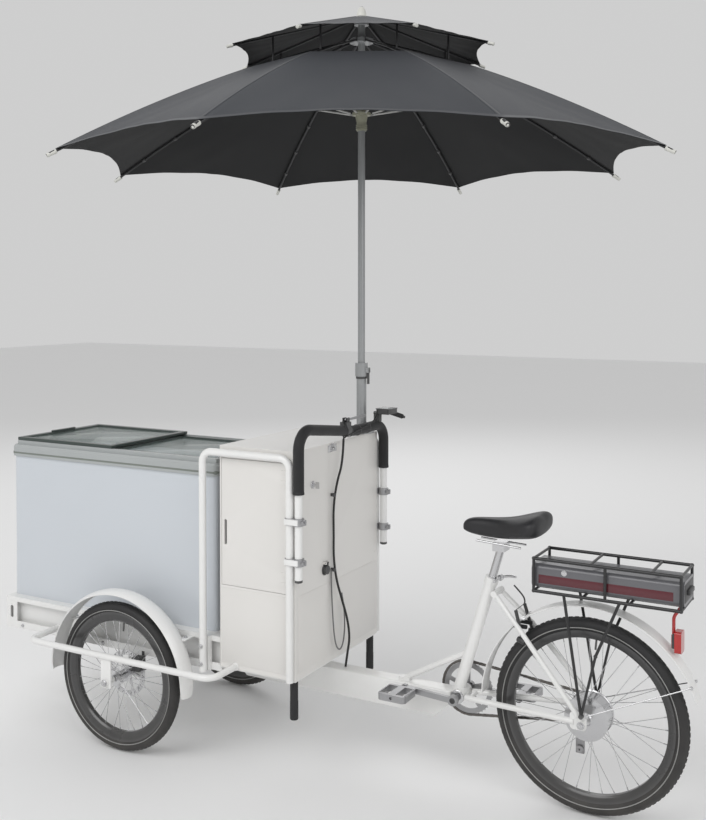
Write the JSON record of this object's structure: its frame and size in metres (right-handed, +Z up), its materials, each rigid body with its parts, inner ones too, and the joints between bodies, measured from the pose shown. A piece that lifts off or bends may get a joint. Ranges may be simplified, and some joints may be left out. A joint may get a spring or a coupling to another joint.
{
  "type": "push vending cart",
  "caption": "Front-load vending tricycle with a chest freezer on a steered two-wheel box, a cabinet with push bar, a folding double-canopy umbrella and a pedal-and-motor rear half.",
  "frame": {"origin": "on the floor under the middle of the overall footprint", "axes": "+Z up, the cart faces -X, the rider's left-hand side is -Y"},
  "size_m": [2.5108, 2.188, 2.611],
  "materials": {
    "white_frame": "gloss white powder coat",
    "freezer_body": "satin pale grey sheet",
    "freezer_trim": "moulded grey trim",
    "lid_glass": "tinted sliding glass",
    "cabinet_white": "warm white sheet",
    "black_rubber": "foam and rubber",
    "tyre_black": "treaded tyre",
    "rim_black": "black rims with steel spokes",
    "black_plastic": "moulded plastic",
    "black_steel": "black coated rod",
    "bright_steel": "bright plated steel",
    "pole_grey": "grey coated tube",
    "canopy_cloth": "charcoal woven polyester",
    "runner_plastic": "olive grey plastic",
    "battery_shell": "grey shell with dark sides",
    "lamp_red": "red lens",
    "rib_black": "dark steel rib"
  },
  "bodies": {
    "rear_frame": {"frame_beam": "white_frame", "seat_tube": "white_frame", "rear_triangle": "white_frame", "rear_fender": "white_frame", "rear_rack": "black_steel", "tail_light": "lamp_red", "chain": "bright_steel"},
    "battery": {"battery": "battery_shell"},
    "seat": {"seat_post": "bright_steel", "saddle": "black_rubber"},
    "crank": {"crankset": "bright_steel"},
    "pedal_left": {"pedal_left": "bright_steel"},
    "pedal_right": {"pedal_right": "bright_steel"},
    "sprocket": {"rear_sprocket": "bright_steel"},
    "rear_wheel": {"rear_wheel": "rim_black", "rear_tyre": "tyre_black"},
    "front_box": {"tray": "white_frame", "side_hoops": "white_frame", "freezer_tub": "freezer_body", "freezer_trim": "freezer_trim", "cabinet": "cabinet_white", "handlebar": "white_frame", "handlebar_grip": "black_rubber", "controls": "black_plastic", "side_guards": "white_frame", "front_fenders": "white_frame", "main_cable": "black_rubber", "grey_cable": "pole_grey", "pole_base": "pole_grey"},
    "wheel_left": {"front_wheel_left": "rim_black", "front_tyre_left": "tyre_black"},
    "wheel_right": {"front_wheel_right": "rim_black", "front_tyre_right": "tyre_black"},
    "lid_front": {"lid_front": "lid_glass"},
    "lid_rear": {"lid_rear": "lid_glass"},
    "door": {"cabinet_door": "cabinet_white"},
    "lock": {"cabinet_lock": "bright_steel"},
    "socket_cap": {"socket_cap": "black_rubber"},
    "brake_lever": {"brake_lever": "bright_steel"},
    "pole_lever": {"pole_lever": "black_plastic"},
    "umbrella": {"umbrella_mast": "pole_grey", "canopy_main": "canopy_cloth", "canopy_vent": "canopy_cloth"},
    "runner": {"umbrella_runner": "runner_plastic"},
    "rib_1": {"rib_1": "rib_black"},
    "strut_1": {"strut_1": "rib_black"},
    "rib_2": {"rib_2": "rib_black"},
    "strut_2": {"strut_2": "rib_black"},
    "rib_3": {"rib_3": "rib_black"},
    "strut_3": {"strut_3": "rib_black"},
    "rib_4": {"rib_4": "rib_black"},
    "strut_4": {"strut_4": "rib_black"},
    "rib_5": {"rib_5": "rib_black"},
    "strut_5": {"strut_5": "rib_black"},
    "rib_6": {"rib_6": "rib_black"},
    "strut_6": {"strut_6": "rib_black"},
    "rib_7": {"rib_7": "rib_black"},
    "strut_7": {"strut_7": "rib_black"},
    "rib_8": {"rib_8": "rib_black"},
    "strut_8": {"strut_8": "rib_black"}
  },
  "joints": [
    {"name": "steer", "type": "hinge", "parent": "rear_frame", "child": "front_box", "pos_m": [-0.29037, -0.222, 0.36], "axis": [0, 0, 1], "range_deg": [-31, 31]},
    {"name": "rear_wheel_spin", "type": "hinge", "parent": "rear_frame", "child": "rear_wheel", "pos_m": [0.92963, -0.222, 0.3], "axis": [0, -1, 0], "continuous": true},
    {"name": "wheel_left_spin", "type": "hinge", "parent": "front_box", "child": "wheel_left", "pos_m": [-0.62137, -0.57, 0.257], "axis": [0, -1, 0], "continuous": true},
    {"name": "wheel_right_spin", "type": "hinge", "parent": "front_box", "child": "wheel_right", "pos_m": [-0.62137, 0.126, 0.257], "axis": [0, -1, 0], "continuous": true},
    {"name": "crank_spin", "type": "hinge", "parent": "rear_frame", "child": "crank", "pos_m": [0.50963, -0.222, 0.29], "axis": [0, -1, 0], "continuous": true},
    {"name": "pedal_left_spin", "type": "hinge", "parent": "crank", "child": "pedal_left", "pos_m": [0.33986, -0.35, 0.2989], "axis": [0, -1, 0], "continuous": true},
    {"name": "pedal_right_spin", "type": "hinge", "parent": "crank", "child": "pedal_right", "pos_m": [0.6794, -0.094, 0.2811], "axis": [0, -1, 0], "continuous": true},
    {"name": "sprocket_spin", "type": "hinge", "parent": "rear_frame", "child": "sprocket", "pos_m": [0.92963, -0.166, 0.3], "axis": [0, -1, 0], "continuous": true},
    {"name": "seat_height", "type": "slide", "parent": "rear_frame", "child": "seat", "axis": [0.2883, 0, 0.9575], "range_m": [-0.02, 0.08]},
    {"name": "battery_slide", "type": "slide", "parent": "rear_frame", "child": "battery", "axis": [1, 0, 0], "range_m": [0, 0.3]},
    {"name": "lid_front_slide", "type": "slide", "parent": "front_box", "child": "lid_front", "axis": [1, 0, 0], "range_m": [0, 0.4]},
    {"name": "lid_rear_slide", "type": "slide", "parent": "front_box", "child": "lid_rear", "axis": [-1, 0, 0], "range_m": [0, 0.4]},
    {"name": "door_hinge", "type": "hinge", "parent": "front_box", "child": "door", "pos_m": [0.01913, -0.5075, 0.825], "axis": [0, 0, 1], "range_deg": [0, 90]},
    {"name": "lock_turn", "type": "hinge", "parent": "front_box", "child": "lock", "pos_m": [0.05363, -0.399, 0.954], "axis": [1, 0, 0], "range_deg": [0, 90]},
    {"name": "cap_hinge", "type": "hinge", "parent": "front_box", "child": "socket_cap", "pos_m": [0.06423, -0.321, 0.68], "axis": [0, -1, 0], "range_deg": [0, 100]},
    {"name": "brake_pull", "type": "hinge", "parent": "front_box", "child": "brake_lever", "pos_m": [0.07263, -0.208, 1.149], "axis": [-1, 0, 0], "range_deg": [0, 8], "stiffness_Nm_per_rad": 1, "springref_deg": -5.73},
    {"name": "pole_height", "type": "slide", "parent": "front_box", "child": "umbrella", "axis": [0, 0, 1], "range_m": [-0.045, 0.12]},
    {"name": "pole_clamp", "type": "hinge", "parent": "front_box", "child": "pole_lever", "pos_m": [0.04763, 0, 1.304], "axis": [0, -1, 0], "range_deg": [0, 90]},
    {"name": "umbrella_fold", "type": "slide", "parent": "umbrella", "child": "runner", "axis": [0, 0, -1], "range_m": [0, 0.67], "deforming": ["canopy_main", "canopy_vent"]},
    {"name": "rib_1_fold", "type": "hinge", "parent": "umbrella", "child": "rib_1", "pos_m": [0.05354, 0.00249, 2.487], "axis": [-0.0732, 0.9973, 0], "range_deg": [0, 62.2]},
    {"name": "strut_1_fold", "type": "hinge", "parent": "rib_1", "child": "strut_1", "pos_m": [0.50233, 0.03545, 2.31757], "axis": [-0.0732, 0.9973, 0], "range_deg": [-132.96, 0]},
    {"name": "rib_2_fold", "type": "hinge", "parent": "umbrella", "child": "rib_2", "pos_m": [0.04185, 0.02574, 2.487], "axis": [-0.757, 0.6534, 0], "range_deg": [0, 62.2]},
    {"name": "strut_2_fold", "type": "hinge", "parent": "rib_2", "child": "strut_2", "pos_m": [0.33589, 0.36639, 2.31757], "axis": [-0.757, 0.6534, 0], "range_deg": [-132.96, 0]},
    {"name": "rib_3_fold", "type": "hinge", "parent": "umbrella", "child": "rib_3", "pos_m": [0.01714, 0.03391, 2.487], "axis": [-0.9973, -0.0732, 0], "range_deg": [0, 62.2]},
    {"name": "strut_3_fold", "type": "hinge", "parent": "rib_3", "child": "strut_3", "pos_m": [-0.01581, 0.4827, 2.31757], "axis": [-0.9973, -0.0732, 0], "range_deg": [-132.96, 0]},
    {"name": "rib_4_fold", "type": "hinge", "parent": "umbrella", "child": "rib_4", "pos_m": [-0.00611, 0.02222, 2.487], "axis": [-0.6534, -0.757, 0], "range_deg": [0, 62.2]},
    {"name": "strut_4_fold", "type": "hinge", "parent": "rib_4", "child": "strut_4", "pos_m": [-0.34675, 0.31626, 2.31757], "axis": [-0.6534, -0.757, 0], "range_deg": [-132.96, 0]},
    {"name": "rib_5_fold", "type": "hinge", "parent": "umbrella", "child": "rib_5", "pos_m": [-0.01428, -0.00249, 2.487], "axis": [0.0732, -0.9973, 0], "range_deg": [0, 62.2]},
    {"name": "strut_5_fold", "type": "hinge", "parent": "rib_5", "child": "strut_5", "pos_m": [-0.46307, -0.03545, 2.31757], "axis": [0.0732, -0.9973, 0], "range_deg": [-132.96, 0]},
    {"name": "rib_6_fold", "type": "hinge", "parent": "umbrella", "child": "rib_6", "pos_m": [-0.00258, -0.02574, 2.487], "axis": [0.757, -0.6534, 0], "range_deg": [0, 62.2]},
    {"name": "strut_6_fold", "type": "hinge", "parent": "rib_6", "child": "strut_6", "pos_m": [-0.29662, -0.36639, 2.31757], "axis": [0.757, -0.6534, 0], "range_deg": [-132.96, 0]},
    {"name": "rib_7_fold", "type": "hinge", "parent": "umbrella", "child": "rib_7", "pos_m": [0.02212, -0.03391, 2.487], "axis": [0.9973, 0.0732, 0], "range_deg": [0, 62.2]},
    {"name": "strut_7_fold", "type": "hinge", "parent": "rib_7", "child": "strut_7", "pos_m": [0.05508, -0.4827, 2.31757], "axis": [0.9973, 0.0732, 0], "range_deg": [-132.96, 0]},
    {"name": "rib_8_fold", "type": "hinge", "parent": "umbrella", "child": "rib_8", "pos_m": [0.04537, -0.02222, 2.487], "axis": [0.6534, 0.757, 0], "range_deg": [0, 62.2]},
    {"name": "strut_8_fold", "type": "hinge", "parent": "rib_8", "child": "strut_8", "pos_m": [0.38602, -0.31626, 2.31757], "axis": [0.6534, 0.757, 0], "range_deg": [-132.96, 0]}
  ],
  "couplings": [
    {"joint": "sprocket_spin", "follows": "crank_spin", "ratio": 2.3333},
    {"joint": "rib_1_fold", "follows": "umbrella_fold", "rad_per_m": 1.6151},
    {"joint": "strut_1_fold", "follows": "umbrella_fold", "rad_per_m": -3.4557},
    {"joint": "rib_2_fold", "follows": "umbrella_fold", "rad_per_m": 1.6151},
    {"joint": "strut_2_fold", "follows": "umbrella_fold", "rad_per_m": -3.4557},
    {"joint": "rib_3_fold", "follows": "umbrella_fold", "rad_per_m": 1.6151},
    {"joint": "strut_3_fold", "follows": "umbrella_fold", "rad_per_m": -3.4557},
    {"joint": "rib_4_fold", "follows": "umbrella_fold", "rad_per_m": 1.6151},
    {"joint": "strut_4_fold", "follows": "umbrella_fold", "rad_per_m": -3.4557},
    {"joint": "rib_5_fold", "follows": "umbrella_fold", "rad_per_m": 1.6151},
    {"joint": "strut_5_fold", "follows": "umbrella_fold", "rad_per_m": -3.4557},
    {"joint": "rib_6_fold", "follows": "umbrella_fold", "rad_per_m": 1.6151},
    {"joint": "strut_6_fold", "follows": "umbrella_fold", "rad_per_m": -3.4557},
    {"joint": "rib_7_fold", "follows": "umbrella_fold", "rad_per_m": 1.6151},
    {"joint": "strut_7_fold", "follows": "umbrella_fold", "rad_per_m": -3.4557},
    {"joint": "rib_8_fold", "follows": "umbrella_fold", "rad_per_m": 1.6151},
    {"joint": "strut_8_fold", "follows": "umbrella_fold", "rad_per_m": -3.4557}
  ]
}
